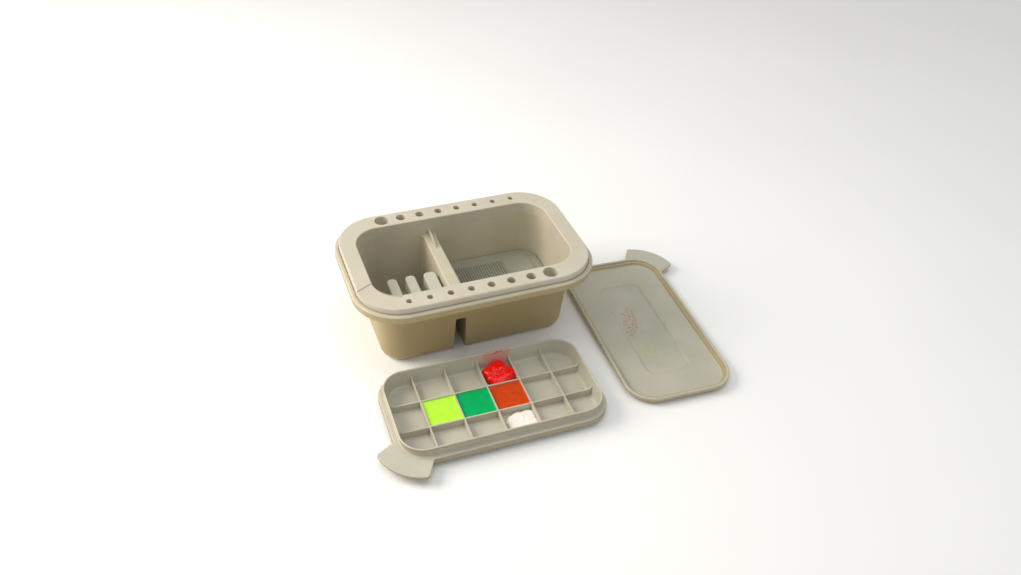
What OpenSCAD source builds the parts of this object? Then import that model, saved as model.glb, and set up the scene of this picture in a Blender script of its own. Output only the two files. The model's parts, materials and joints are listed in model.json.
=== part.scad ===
// Brush-washing tub with a ring of brush sockets, a lift-out scrub board and brush rest,
// a palette tray of shallow wells and a lid. Millimetres, +Z up, table at z = 0.
// The origin is under the middle of the tub, on the table.

/* [Tub] */
// Height of the tub, from the table to the top of the brush ring
tub_h = 100; // [80:1:130]
// Length of the tub over its flange
tub_l = 266; // [220:1:330]
// Width of the tub over its flange
tub_w = 176; // [150:1:220]
// Corner radius of the flange
tub_r = 51; // [42:1:60]
// Thickness of the moulded walls of the tub
wall = 2.4; // [1.8:0.1:3]
// How far each outer wall leans in between the ring seat and the base
draft = 8; // [4:0.5:10]
// Rounding of the edge round the base
base_r = 9; // [6:0.5:12]
// Height of the skirt round the flange
skirt_h = 9; // [6:0.5:12]
// Radius of the cove under the flange
cove_r = 11; // [6:0.5:13]

/* [Brush ring] */
// Height of the brush ring, from its seat to its top
ring_h = 14; // [11:0.5:20]
// How far the brush ring stands above the lip of the flange
ring_proud = 7; // [5:0.5:9]
// Width of the lip outside the brush ring
lip_w = 5; // [4:0.5:7]
// Gap between the brush ring and the lip
ring_gap = 0.7; // [0.4:0.1:1]
// Width of the ring's top at its two ends
deck_end_w = 18; // [15:0.5:24]
// Width of the ring's top along its two sides, where the sockets are
deck_side_w = 23; // [20:0.5:28]
// Thickness of the ring's top and walls
deck_t = 2.6; // [2:0.1:3.5]
// Spacing of the brush sockets
socket_pitch = 22; // [18:0.5:23]
// How far each row of sockets is shifted along the tub
socket_shift = 4.4; // [0:0.1:6]
// Depth of the recess in the ring for the finger tab of the tray
tab_recess = 0.8; // [0.5:0.1:1.5]

/* [Wells] */
// Distance of the divider from the middle of the tub, towards the small well
divider_offset = 22; // [10:1:35]
// Width of the divider at its top
divider_top_w = 14.4; // [12:0.2:17]
// Width of the divider at the floor
divider_base_w = 19.6; // [18:0.2:24]
// How far the divider stops below the ring
divider_drop = 7; // [2:0.5:12]
// Height of the slot under the divider, above the table
slot_h = 50; // [35:1:55]
// Thickness of the fin on the divider
fin_t = 1.4; // [1.2:0.1:2.5]
// Length of the fin on the divider
fin_l = 31; // [20:1:40]

/* [Inserts] */
// Clearance between an insert and the walls of its well
insert_gap = 0.6; // [0.4:0.1:1.2]
// Thickness of the walls of both inserts
insert_t = 2; // [1.6:0.1:2.6]
// Height of the scrub board above the table
scrub_h = 36; // [28:1:50]
// Height of the raised pad of the scrub board above its border
pad_h = 1.2; // [0.8:0.1:2]
// Width of the border round the pad
pad_border = 12; // [8:0.5:16]
// Number of scrubbing ribs
rib_count = 19; // [8:1:24]
// Spacing of the ribs
rib_pitch = 3; // [2.6:0.1:3.4]
// Width of a rib
rib_w = 1.5; // [1:0.1:1.8]
// Height of a rib
rib_h = 1.8; // [1:0.1:3]
// Height of the brush rest above the table
rest_h = 70; // [55:1:72]
// Length of the fingers of the brush rest
finger_l = 62; // [40:1:70]
// Width of a finger
finger_w = 11; // [9:0.5:13]
// Width of the first finger, beside the divider
first_finger_w = 13.6; // [10:0.1:16]
// Spacing of the fingers
finger_pitch = 20.5; // [17:0.5:22]
// Number of fingers
finger_count = 3; // [2:1:3]

/* [Tray] */
// Length of the tray over its rim
tray_l = 224; // [186:1:270]
// Width of the tray over its rim
tray_w = 121; // [100:1:146]
// Corner radius of the tray's rim
tray_r = 30; // [25:1:38]
// Height of the tray
tray_h = 22; // [18:0.5:28]
// Thickness of the tray's walls and floor
tray_t = 2; // [1.6:0.1:2.5]
// Distance between the tray's rim and the outside of its pan
rim_inset = 5; // [4:0.5:8]
// Height of the tray's rim above the table
rim_h = 12; // [9:0.5:14]
// Height of the rim's lower edge above the table
rim_lift = 5.5; // [1:0.5:6]
// How far the pan's walls lean in towards the floor
pan_draft = 2.5; // [1:0.5:4]
// Spacing of the cross dividers
well_l = 36; // [30:0.5:43]
// Spacing of the two long dividers
well_w = 36; // [30:0.5:42]
// Number of wells along the tray
well_columns = 6; // [4:2:6]
// Height of the dividers above the tray's floor
grid_h = 8; // [6:0.5:9.5]
// Thickness of the dividers
grid_t = 1.5; // [1.2:0.1:2]
// Size of the gusset at the end of each divider
gusset = 4.5; // [3:0.5:6]
// Gap between dividers where they cross
grid_gap = 0.05; // [0.02:0.01:0.2]

/* [Lid] */
// Length of the lid
lid_l = 230; // [192:1:276]
// Width of the lid
lid_w = 122; // [102:1:147]
// Corner radius of the lid
lid_r = 31; // [26:1:38]
// Height of the lid
lid_h = 10; // [9:0.5:14]
// Thickness of the lid
lid_t = 2.2; // [1.8:0.1:2.6]
// Width of the lid's rim
lid_rim_w = 3; // [2.4:0.1:4]
// Rounding of the lid's outer edge
lid_edge_r = 5; // [3:0.5:6]
// Depth of the step between the lid's floor and its panel
panel_step = 2; // [1:0.5:3]
// Length of the lid's panel
panel_l = 152; // [124:1:162]
// Width of the lid's panel
panel_w = 52; // [42:1:64]

/* [Finger tabs] */
// How far the finger tabs reach past the corner
tab_reach = 19.5; // [14:0.5:24]
// Thickness of the finger tabs
tab_t = 3; // [2:0.2:4]
// Angle between each end of a finger tab and the side next to it
tab_splay = 28; // [20:1:35]
// How far each end of a finger tab starts past the corner
tab_over = 2.5; // [0:0.5:4]
// Rounding of the ends of the finger tabs
tab_end_r = 3; // [1:0.5:5]

/* [Layout] */
// Gap between the flange of the tub and the middle of the tray, seen from above
tray_offset = 56; // [51:1:120]
// Position of the tray along the tub
tray_shift = -16; // [-40:1:10]
// Angle of the tray
tray_yaw = -1; // [-8:0.5:8]
// Gap between the flange of the tub and the middle of the lid, seen from above
lid_offset = 55.5; // [54:0.5:120]
// Position of the lid across the tub
lid_shift = -87; // [-110:1:-60]
// Angle of the lid
lid_yaw = -93; // [-98:0.5:-85]

/* [Hidden] */

// Steps in each rounded corner, and in each small fillet
corner_steps = 14;
fillet_steps = 4;
// Reach of a cutting solid past the surface that it cuts
past = 2;
// Facets of a true round
round_fn = 64;

// Diameters of the sockets of one row, from the narrow end to the wide end
socket_d = [6, 6.5, 7, 7.5, 8.5, 9.5, 10.5, 16];
socket_count = len(socket_d);

// Levels of the tub
seat_z = tub_h - ring_h;
lip_z = tub_h - ring_proud;
skirt_z = lip_z - skirt_h;
divider_z = seat_z - divider_drop;
edge_r = 1.6;

// Outlines of the tub, as [length, width, corner radius]
flange = [tub_l, tub_w, tub_r];
ring = inset(flange, lip_w);
seat = inset(ring, -ring_gap);
opening = [ring[0] - 2 * deck_end_w, ring[1] - 2 * deck_side_w, ring[2] - deck_end_w];
body = inset(opening, -wall);
socket_y = (ring[1] + opening[1]) / 4;

// Outlines of the tray and the lid
rim = [tray_l, tray_w, tray_r];
pan = inset(rim, rim_inset);
lid_rim = [lid_l, lid_w, lid_r];
divider_x = -divider_offset;
tray_pos = [tray_shift, -tub_w / 2 - tray_offset, 0];
lid_pos = [tub_l / 2 + lid_offset, lid_shift, 0];
plastic = [0.74, 0.70, 0.62];
plastic_light = [0.78, 0.74, 0.67];

// The outline o moved in by d on every side
function inset(o, d) = [o[0] - 2 * d, o[1] - 2 * d, o[2] - d];

// Points of a rounded rectangle at height z
function outline(o, z) = [
    for (corner = [0:3], i = [0:corner_steps])
        let (a = 90 * corner + 90 * i / corner_steps,
             sx = (corner == 0 || corner == 3) ? 1 : -1,
             sy = corner < 2 ? 1 : -1)
        [sx * (o[0] / 2 - o[2]) + o[2] * cos(a), sy * (o[1] / 2 - o[2]) + o[2] * sin(a), z]];

// How far the tub's walls lean in at height z
function lean(z) = draft * (1 - z / seat_z);

// Rounded edge that opens upwards from z, as [inset, height] pairs
function edge_up(r, z) = [for (i = [0:fillet_steps])
    let (a = 90 * i / fillet_steps) [r * (1 - sin(a)), z + r * (1 - cos(a))]];

// Rounded edge that closes upwards to z
function edge_down(r, z) = [for (i = [0:fillet_steps])
    let (a = 90 * i / fillet_steps) [r * (1 - cos(a)), z - r * (1 - sin(a))]];

// A closed skin through a list of [outline, height] pairs, from the bottom up
module loft(levels) {
    m = 4 * (corner_steps + 1);
    n = len(levels);
    points = [for (level = levels) each outline(level[0], level[1])];
    faces = concat(
        [[for (i = [0:m - 1]) i]],
        [for (k = [0:n - 2], i = [0:m - 1])
            let (j = (i + 1) % m) [k * m + i, (k + 1) * m + i, (k + 1) * m + j, k * m + j]],
        [[for (i = [m - 1:-1:0]) (n - 1) * m + i]]);
    polyhedron(points, faces, convexity = 8);
}

// A rounded rectangle with true round corners
module plate(o) {
    square([o[0] - 2 * o[2], o[1]], center = true);
    square([o[0], o[1] - 2 * o[2]], center = true);
    for (sx = [-1, 1], sy = [-1, 1])
        translate([sx * (o[0] / 2 - o[2]), sy * (o[1] / 2 - o[2])]) circle(o[2], $fn = round_fn);
}

// A finger tab round the corner at -X, -Y of the outline o. The wedge reaches the inside of the outline
// too, where the tray and the lid are cut hollow afterwards
module finger_tab(o) {
    translate([-(o[0] / 2 - o[2]), -(o[1] / 2 - o[2])])
        offset(tab_end_r, $fn = round_fn / 2) offset(-tab_end_r, $fn = round_fn / 2)
        intersection() {
            difference() {
                circle(o[2] + tab_reach, $fn = 2 * round_fn);
                circle(o[2] - past - tab_end_r, $fn = 2 * round_fn);
            }
            splayed(o[2], tab_over);
        }
}

// The part of the plane between a finger tab's two end lines. They start at a corner of radius r,
// past it by over, and close in by tab_splay
module splayed(r, over) {
    t = tan(tab_splay);
    apex = (over + r * t) / (1 - t);
    reach = 4 * r;
    translate([apex, apex])
        polygon([[0, 0], for (a = [180 + tab_splay, 225, 270 - tab_splay]) reach * [cos(a), sin(a)]]);
}

// The space inside the tub's walls, taken in by gap, up to height top
module basin_space(gap, top) {
    r = base_r - wall;
    inner = inset(opening, gap);
    loft(concat(
        [for (e = edge_up(r, wall)) [inset(inner, lean(e[1]) + e[0]), e[1]]],
        [[inset(inner, lean(seat_z)), seat_z], [inset(inner, 0), max(top, seat_z + 1)]]));
}

// The divider's cross-section along X, taken in by t, from z = low to z = high
module divider_section(t, low, high) {
    base = divider_base_w / 2 - t;
    top = divider_top_w / 2 - t;
    function half(z) = top + (base - top) * (divider_z - z) / divider_z;
    polygon([[-half(low), low], [half(low), low], [half(high), high], [-half(high), high]]);
}

// A bar of that cross-section along Y
module divider_bar(t, low, high, length) {
    translate([divider_x, length / 2, 0]) rotate([90, 0, 0])
        linear_extrude(length) divider_section(t, low, high);
}

// The thin fin that stiffens the divider's end at the back wall
module fin() {
    back = opening[1] / 2 + wall / 2;
    steps = 10;
    translate([divider_x + fin_t / 2, back, divider_z]) rotate([90, 0, -90]) linear_extrude(fin_t)
        polygon([[fin_l, -1], for (i = [steps:-1:0])
            [fin_l * i / steps, divider_drop * (1 - pow(i / steps, 3))], [0, -1]]);
}

module tub_outside() {
    wall_top = skirt_z - cove_r;
    loft(concat(
        [for (e = edge_up(base_r, 0)) [inset(body, lean(e[1]) + e[0]), e[1]]],
        [for (i = [0:fillet_steps]) let (a = 90 * i / fillet_steps)
            [inset(body, lean(wall_top) - cove_r * (1 - cos(a))), wall_top + cove_r * sin(a)]],
        [for (e = edge_up(edge_r, skirt_z)) [inset(flange, e[0]), e[1]]],
        [for (e = edge_down(edge_r, lip_z)) [inset(flange, e[0]), e[1]]]));
}

module tub() {
    color(plastic) difference() {
        union() {
            difference() {
                tub_outside();
                translate([0, 0, seat_z]) linear_extrude(ring_h) plate(seat);
                difference() {
                    basin_space(0, tub_h);
                    divider_bar(0, 0, divider_z, tub_w);
                }
            }
            fin();
        }
        divider_bar(wall, -past, slot_h, tub_w);
        divider_bar(wall, slot_h - 1, divider_z - wall, opening[1] - 4 * draft);
    }
}

module brush_ring() {
    bar_l = socket_count * socket_pitch + 2 * socket_shift;
    color(plastic_light) translate([0, 0, seat_z]) difference() {
        linear_extrude(ring_h) difference() {
            plate(ring);
            plate(opening);
        }
        // Hollow ends, open below
        translate([0, 0, -past]) linear_extrude(ring_h - deck_t + past) difference() {
            plate(inset(ring, deck_t));
            plate(inset(opening, -deck_t));
            square([bar_l, tub_w], center = true);
        }
        for (side = [-1, 1], i = [0:socket_count - 1])
            translate([-side * (-socket_shift + (i - (socket_count - 1) / 2) * socket_pitch),
                side * socket_y, -past])
                cylinder(h = ring_h + 2 * past, d = socket_d[i], $fn = round_fn);
        // Recess for the tray's finger tab
        translate([0, 0, ring_h - tab_recess]) linear_extrude(past) tab_seat();
    }
}

// Outline of the recess for the tray's finger tab, when the tray lies on the ring
module tab_seat() {
    difference() {
        translate([-(rim[0] / 2 - rim[2]), -(rim[1] / 2 - rim[2])]) splayed(rim[2], -tab_over);
        plate(inset(opening, -1.5));
    }
}

module scrub_board() {
    edge_x = divider_x + divider_base_w / 2 + insert_gap;
    pad_x0 = edge_x + pad_border;
    pad_x1 = opening[0] / 2 - lean(scrub_h) - pad_border;
    pad = [pad_x1 - pad_x0, opening[1] - 2 * lean(scrub_h) - 2 * pad_border, 12];
    rib_l = pad[1] - pad_border;
    rib_x0 = pad_x0 + rib_pitch;
    module well(gap, x0, top) intersection() {
        basin_space(gap, top);
        translate([x0, -tub_w / 2, 0]) cube([tub_l, tub_w, top]);
    }
    color(plastic) union() {
        difference() {
            well(insert_gap, edge_x, scrub_h);
            translate([0, 0, -insert_t])
                well(insert_gap + insert_t, edge_x + insert_t, scrub_h);
        }
        translate([(pad_x0 + pad_x1) / 2, 0, scrub_h - 0.5])
            linear_extrude(pad_h + 0.5) plate(pad);
        for (i = [0:rib_count - 1])
            translate([rib_x0 + i * rib_pitch, -rib_l / 2, scrub_h])
                cube([rib_w, rib_l, pad_h + rib_h]);
    }
}

module brush_rest() {
    edge_x = divider_x - divider_base_w / 2 - insert_gap;
    front = opening[1] / 2 - lean(rest_h) - insert_gap;
    web = 2 * insert_t;
    tip_r = 5;
    // One finger's outline, grown by g, with rounded corners at its far end
    module finger(i, g) {
        w = (i == 0 ? first_finger_w : finger_w) + 2 * g;
        l = finger_l + g;
        translate([edge_x - first_finger_w - i * finger_pitch - g, -front]) {
            square([w, l - tip_r]);
            translate([tip_r, 0]) square([w - 2 * tip_r, l]);
            for (dx = [tip_r, w - tip_r]) translate([dx, l - tip_r]) circle(tip_r, $fn = round_fn);
        }
    }
    color(plastic_light) intersection() {
        difference() {
            union() {
                translate([0, 0, wall / 2]) linear_extrude(rest_h - wall / 2)
                    for (i = [0:finger_count - 1]) finger(i, 0);
                translate([edge_x - tub_l, -front - past, wall / 2])
                    cube([tub_l, web + past, rest_h - wall / 2]);
            }
            // Each finger is hollow, open below
            for (i = [0:finger_count - 1])
                linear_extrude(rest_h - insert_t) difference() {
                    finger(i, -insert_t);
                    translate([-2 * tub_l, -front - past]) square([3 * tub_l, web + past]);
                }
        }
        basin_space(insert_gap, rest_h);
    }
}

module at_tray() { translate(tray_pos) rotate(tray_yaw) children(); }

module at_lid() { translate(lid_pos) rotate(lid_yaw) children(); }

function pan_lean(z) = pan_draft * (1 - z / tray_h);

module tray() {
    pan_edge = 1.5;
    lip_r = 0.9;
    color(plastic) at_tray() difference() {
        union() {
            loft(concat(
                [for (e = edge_up(pan_edge, 0)) [inset(pan, pan_lean(e[1]) + e[0]), e[1]]],
                [for (e = edge_down(lip_r, tray_h)) [inset(pan, pan_lean(e[1]) + e[0]), e[1]]]));
            // Rim, open below
            difference() {
                loft(concat([[rim, rim_lift]],
                    [for (e = edge_down(1.2, rim_h)) [inset(rim, e[0]), e[1]]]));
                translate([0, 0, rim_lift - past])
                    loft([[inset(rim, tray_t), 0], [inset(rim, tray_t), rim_h - tray_t - rim_lift + past]]);
            }
            translate([0, 0, rim_h - tab_t]) linear_extrude(tab_t) finger_tab(rim);
        }
        difference() {
            loft(concat(
                [for (e = edge_up(3, tray_t)) [inset(pan, tray_t + pan_lean(e[1]) + e[0]), e[1]]],
                [[inset(pan, tray_t + pan_lean(tray_h)), tray_h + past]]));
            gussets();
        }
    }
}

// Small fins that rise from the ends of the dividers up the tray's walls
module gussets() {
    z = tray_t + grid_h;
    reach_x = pan[0] / 2 - tray_t - pan_lean(z);
    reach_y = pan[1] / 2 - tray_t - pan_lean(z);
    module fin_at(reach) rotate([90, 0, 0]) translate([0, 0, -grid_t / 2])
        linear_extrude(grid_t) polygon([[reach + tray_t, tray_t - 1], [reach - gusset, tray_t - 1],
            [reach - gusset, z], [reach + 0.3, z + gusset], [reach + tray_t, z + gusset]]);
    for (i = [1:well_columns - 1], side = [-1, 1])
        translate([(i - well_columns / 2) * well_l, 0, 0]) rotate(side * 90) fin_at(reach_y);
    for (side = [-1, 1], turn = [0, 180])
        translate([0, side * well_w / 2, 0]) rotate(turn) fin_at(reach_x);
}

module tray_dividers() {
    z = tray_t + grid_h;
    reach_x = pan[0] / 2 - tray_t - pan_lean(z) - gusset;
    reach_y = pan[1] / 2 - tray_t - pan_lean(z) - gusset;
    half = grid_t / 2 + grid_gap;
    color(plastic_light) at_tray() translate([0, 0, tray_t]) {
        for (i = [1:well_columns - 1])
            translate([(i - well_columns / 2) * well_l - grid_t / 2, -reach_y, 0])
                cube([grid_t, 2 * reach_y, grid_h]);
        for (i = [0:well_columns - 1], side = [-1, 1])
            let (x0 = i == 0 ? -reach_x : (i - well_columns / 2) * well_l + half,
                 x1 = i == well_columns - 1 ? reach_x : (i + 1 - well_columns / 2) * well_l - half)
            translate([x0, side * well_w / 2 - grid_t / 2, 0]) cube([x1 - x0, grid_t, grid_h]);
    }
}

module lid() {
    floor_z = panel_step + lid_t;
    panel = [panel_l, panel_w, 10];
    slope = 2.5;
    inner = inset(lid_rim, lid_rim_w);
    color(plastic) at_lid() difference() {
        union() {
            loft(concat(
                [for (e = edge_up(lid_edge_r, panel_step)) [inset(lid_rim, e[0]), e[1]]],
                [for (e = edge_down(0.8, lid_h)) [inset(lid_rim, e[0]), e[1]]]));
            loft([[inset(panel, slope), 0], [panel, panel_step], [panel, panel_step + 0.5]]);
            translate([0, 0, lid_h - tab_t]) linear_extrude(tab_t) mirror([0, 1, 0]) finger_tab(lid_rim);
        }
        loft(concat(
            [for (e = edge_up(3, floor_z)) [inset(inner, 3 + e[0]), e[1]]],
            [[inset(inner, 2.4), lid_h - 2.6], [inner, lid_h - 2], [inner, lid_h + past]]));
        loft([[inset(panel, slope + 1), lid_t], [inset(panel, 1), floor_z], [inset(panel, 1), floor_z + 1]]);
    }
}

tub();
brush_ring();
scrub_board();
brush_rest();
tray();
tray_dividers();
lid();
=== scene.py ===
"""Looks of the wet palette: a brush-washing tub, its two inserts, a palette tray with paint, and a lid."""

from __future__ import annotations

import json
import logging
import math
from dataclasses import dataclass, field
from enum import Enum
from typing import Callable, Iterable, Sequence

import bmesh
import bpy
from mathutils import Matrix, Vector, noise


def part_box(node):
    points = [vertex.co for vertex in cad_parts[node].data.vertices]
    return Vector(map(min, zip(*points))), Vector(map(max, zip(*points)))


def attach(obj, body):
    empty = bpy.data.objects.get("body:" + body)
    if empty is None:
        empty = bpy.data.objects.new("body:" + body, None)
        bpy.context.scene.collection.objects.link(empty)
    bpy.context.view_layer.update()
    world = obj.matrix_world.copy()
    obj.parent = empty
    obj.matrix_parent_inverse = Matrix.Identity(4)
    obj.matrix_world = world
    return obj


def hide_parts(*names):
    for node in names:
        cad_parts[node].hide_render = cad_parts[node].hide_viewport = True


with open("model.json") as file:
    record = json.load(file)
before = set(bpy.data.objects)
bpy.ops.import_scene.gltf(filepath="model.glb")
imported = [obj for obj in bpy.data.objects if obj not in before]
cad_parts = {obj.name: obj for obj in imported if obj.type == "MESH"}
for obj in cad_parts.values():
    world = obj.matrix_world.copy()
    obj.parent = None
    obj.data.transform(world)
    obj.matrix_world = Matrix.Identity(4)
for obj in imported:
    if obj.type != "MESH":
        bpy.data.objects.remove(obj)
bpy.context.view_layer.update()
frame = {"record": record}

LOG = logging.getLogger("wet_palette")
MM = 0.001
CORNER_STEPS = 20
FINE_STEPS = 28
RIM_STEPS = 24
SHARP_ANGLE = math.radians(34)
Colour = tuple[float, float, float]
Profile = Sequence[tuple[float, float]]


def linear(colour: Colour) -> tuple[float, float, float, float]:
    """Turns a display colour from 0 to 255 into the linear colour that a shader takes.

    Args:
        colour: Red, green and blue as shown on a screen, 0 to 255.

    Returns:
        Linear red, green and blue from 0 to 1, and full alpha.
    """
    def one(value: float) -> float:
        """Turns one channel from display to linear."""
        share = value / 255.0
        return share / 12.92 if share <= 0.04045 else ((share + 0.055) / 1.055) ** 2.4

    return (one(colour[0]), one(colour[1]), one(colour[2]), 1.0)


class Join(Enum):
    """How one closed mesh is combined with another."""

    CUT = "DIFFERENCE"
    ADD = "UNION"
    KEEP = "INTERSECT"


# ---------------------------------------------------------------- outlines and lofts


@dataclass(frozen=True)
class Outline:
    """A rounded rectangle seen from above, with a radius for each corner."""

    x0: float
    x1: float
    y0: float
    y1: float
    radii: tuple[float, float, float, float]

    @classmethod
    def centred(cls, length: float, width: float, radius: float) -> "Outline":
        """Makes an outline round the origin with four equal corners."""
        return cls(-length / 2, length / 2, -width / 2, width / 2, (radius,) * 4)

    def inset(self, depth: float) -> "Outline":
        """Moves every side in by depth, or out where depth is negative."""
        radii = tuple(max(r - depth, 0.4 * MM) for r in self.radii)
        return Outline(self.x0 + depth, self.x1 - depth, self.y0 + depth, self.y1 - depth, radii)

    def reach(self, x: float, y: float) -> float:
        """Gives how far a point lies outside the outline, or inside it where negative."""
        right = x > (self.x0 + self.x1) / 2
        back = y > (self.y0 + self.y1) / 2
        radius = self.radii[(0 if right else 1) if back else (3 if right else 2)]
        dx = max(self.x0 + radius - x, x - self.x1 + radius)
        dy = max(self.y0 + radius - y, y - self.y1 + radius)
        return math.hypot(max(dx, 0.0), max(dy, 0.0)) + min(max(dx, dy), 0.0) - radius

    def point(self, corner: int, share: float) -> tuple[float, float]:
        """Gives a point on a corner's arc.

        Args:
            corner: 0 to 3, anticlockwise from the corner at +X, +Y.
            share: How far along the arc, from 0 to 1.

        Returns:
            The point's x and y.
        """
        angle = math.radians(90) * (corner + share)
        radius = self.radii[corner]
        centre_x = self.x1 - radius if corner in (0, 3) else self.x0 + radius
        centre_y = self.y1 - radius if corner in (0, 1) else self.y0 + radius
        return centre_x + radius * math.cos(angle), centre_y + radius * math.sin(angle)


def rounded_edge(radius: float, steps: int = 6, opening: bool = True) -> list[tuple[float, float]]:
    """Gives a quarter-round edge as (inset, rise) pairs, going up.

    Args:
        radius: The edge's radius.
        steps: Number of steps along the quarter.
        opening: True if the outline grows as it rises, False if it closes.

    Returns:
        Pairs of inset from the full outline and rise from the start of the edge.
    """
    pairs = []
    for i in range(steps + 1):
        angle = math.radians(90) * i / steps
        if opening:
            pairs.append((radius * (1 - math.sin(angle)), radius * (1 - math.cos(angle))))
        else:
            pairs.append((radius * (1 - math.cos(angle)), radius * math.sin(angle)))
    return pairs


def half_round(radius: float, steps: int = 8) -> list[tuple[float, float]]:
    """Gives a half-round top as (inset, rise) pairs, from its outer foot over to its inner one."""
    angles = [math.radians(180) * i / steps for i in range(steps + 1)]
    return [(radius * (1 - math.cos(angle)), radius * math.sin(angle)) for angle in angles]


def loft(levels: Sequence[tuple[Outline, float]], steps: int = CORNER_STEPS) -> bmesh.types.BMesh:
    """Skins a closed form through a list of outlines.

    Args:
        levels: Outlines and their heights, in order along the skin. Both ends are capped.
        steps: Number of steps round each corner.

    Returns:
        A new closed bmesh with its faces pointing outwards.
    """
    bm = bmesh.new()
    count = 4 * (steps + 1)
    made = bmesh.ops.create_circle(bm, cap_ends=False, segments=count, radius=1.0)
    ring = sorted(made["verts"], key=lambda v: math.atan2(v.co.y, v.co.x) % (2 * math.pi))

    def place(outline: Outline, z: float) -> None:
        """Moves the current ring onto an outline."""
        for i, vert in enumerate(ring):
            vert.co = (*outline.point(i // (steps + 1), (i % (steps + 1)) / steps), z)

    def ring_edges() -> list[bmesh.types.BMEdge]:
        """Lists the edges of the current ring."""
        return [bm.edges.get((ring[i], ring[(i + 1) % count])) for i in range(count)]

    place(*levels[0])
    bmesh.ops.contextual_create(bm, geom=ring_edges())
    for outline, z in levels[1:]:
        order = {vert: i for i, vert in enumerate(ring)}
        geom = bmesh.ops.extrude_edge_only(bm, edges=ring_edges())["geom"]
        raised: list[bmesh.types.BMVert] = [None] * count
        for vert in (g for g in geom if isinstance(g, bmesh.types.BMVert)):
            below = next(e.other_vert(vert) for e in vert.link_edges if e.other_vert(vert) in order)
            raised[order[below]] = vert
        ring[:] = raised
        place(outline, z)
    bmesh.ops.contextual_create(bm, geom=ring_edges())
    bmesh.ops.recalc_face_normals(bm, faces=bm.faces)
    return bm


def along(outline: Outline, profile: Profile) -> list[tuple[Outline, float]]:
    """Turns (inset, height) pairs into loft levels round one outline."""
    return [(outline.inset(depth), z) for depth, z in profile]


def block(low: Vector, high: Vector, round_edges: float = 0.0, segments: int = 3) -> bmesh.types.BMesh:
    """Makes a box between two corners, with its edges rounded.

    Args:
        low: Lowest corner.
        high: Highest corner.
        round_edges: Radius of the edges, or 0 for sharp ones.
        segments: Steps across each rounded edge.

    Returns:
        A new closed bmesh.
    """
    bm = bmesh.new()
    bmesh.ops.create_cube(bm, size=1.0)
    size = high - low
    bmesh.ops.scale(bm, vec=size, verts=bm.verts)
    bmesh.ops.translate(bm, vec=(low + high) / 2, verts=bm.verts)
    if round_edges > 0:
        bmesh.ops.bevel(bm, geom=bm.edges[:], offset=round_edges, segments=segments, affect="EDGES",
                        profile=0.5, material=-1)
    return bm


def lathe(profile: Profile, centre: tuple[float, float], steps: int = 48,
          closed: bool = False) -> bmesh.types.BMesh:
    """Turns a profile of (radius, height) pairs round a vertical axis into a closed form.

    Args:
        profile: Points from the bottom to the top, none of them on the axis.
        centre: The axis's x and y.
        steps: Number of steps round the axis.
        closed: True for a ring whose profile joins up with itself.

    Returns:
        A new closed bmesh.
    """
    bm = bmesh.new()
    verts = [bmesh.ops.create_vert(bm, co=(centre[0] + r, centre[1], z))["vert"][0] for r, z in profile]
    ends = verts[1:] + verts[:1] if closed else verts[1:]
    edges = [bmesh.ops.contextual_create(bm, geom=[a, b])["edges"][0] for a, b in zip(verts, ends)]
    bmesh.ops.spin(bm, geom=verts + edges, cent=(*centre, 0.0), axis=(0, 0, 1), dvec=(0, 0, 0),
                   angle=2 * math.pi, steps=steps, use_merge=True, use_duplicate=False)
    bmesh.ops.remove_doubles(bm, verts=bm.verts, dist=1e-6)
    if not closed:
        bmesh.ops.holes_fill(bm, edges=[e for e in bm.edges if e.is_boundary])
    bmesh.ops.recalc_face_normals(bm, faces=bm.faces)
    return bm


def prism(points: Sequence[tuple[float, float, float]], depth: Vector) -> bmesh.types.BMesh:
    """Stretches a flat outline into a closed form.

    Args:
        points: The outline's points in order, all in one plane.
        depth: How far and which way the outline is stretched.

    Returns:
        A new closed bmesh.
    """
    bm = bmesh.new()
    verts = [bmesh.ops.create_vert(bm, co=point)["vert"][0] for point in points]
    edges = [bmesh.ops.contextual_create(bm, geom=[a, b])["edges"][0]
             for a, b in zip(verts, verts[1:] + verts[:1])]
    face = bmesh.ops.contextual_create(bm, geom=edges)["faces"][0]
    grown = bmesh.ops.extrude_face_region(bm, geom=[face])["geom"]
    bmesh.ops.translate(bm, vec=depth, verts=[g for g in grown if isinstance(g, bmesh.types.BMVert)])
    bmesh.ops.recalc_face_normals(bm, faces=bm.faces)
    return bm


def merged(parts: Iterable[bmesh.types.BMesh]) -> bmesh.types.BMesh:
    """Puts several bmeshes into one, freeing them."""
    whole = bmesh.new()
    for part in parts:
        mesh = bpy.data.meshes.new("part")
        part.to_mesh(mesh)
        part.free()
        whole.from_mesh(mesh)
        bpy.data.meshes.remove(mesh)
    return whole


def new_object(name: str, bm: bmesh.types.BMesh) -> bpy.types.Object:
    """Makes an object in the scene from a bmesh, and frees the bmesh."""
    mesh = bpy.data.meshes.new(name)
    bm.to_mesh(mesh)
    bm.free()
    obj = bpy.data.objects.new(name, mesh)
    bpy.context.scene.collection.objects.link(obj)
    return obj


def combine(base: bpy.types.Object, tool: bmesh.types.BMesh, how: Join) -> None:
    """Combines an object with a closed form and keeps the result as plain mesh.

    Args:
        base: The object that is changed.
        tool: The closed form. It is freed.
        how: Whether the form is cut out, added, or the only room that the object keeps.
    """
    other = new_object("tool", tool)
    modifier = base.modifiers.new("combine", "BOOLEAN")
    modifier.operation = how.value
    modifier.solver = "EXACT"
    modifier.object = other
    bpy.context.view_layer.update()
    graph = bpy.context.evaluated_depsgraph_get()
    mesh = bpy.data.meshes.new_from_object(base.evaluated_get(graph))
    base.modifiers.remove(modifier)
    before = base.data
    mesh.name = base.name
    base.data = mesh
    bpy.data.meshes.remove(before)
    tool_mesh = other.data
    bpy.data.objects.remove(other)
    bpy.data.meshes.remove(tool_mesh)


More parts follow.
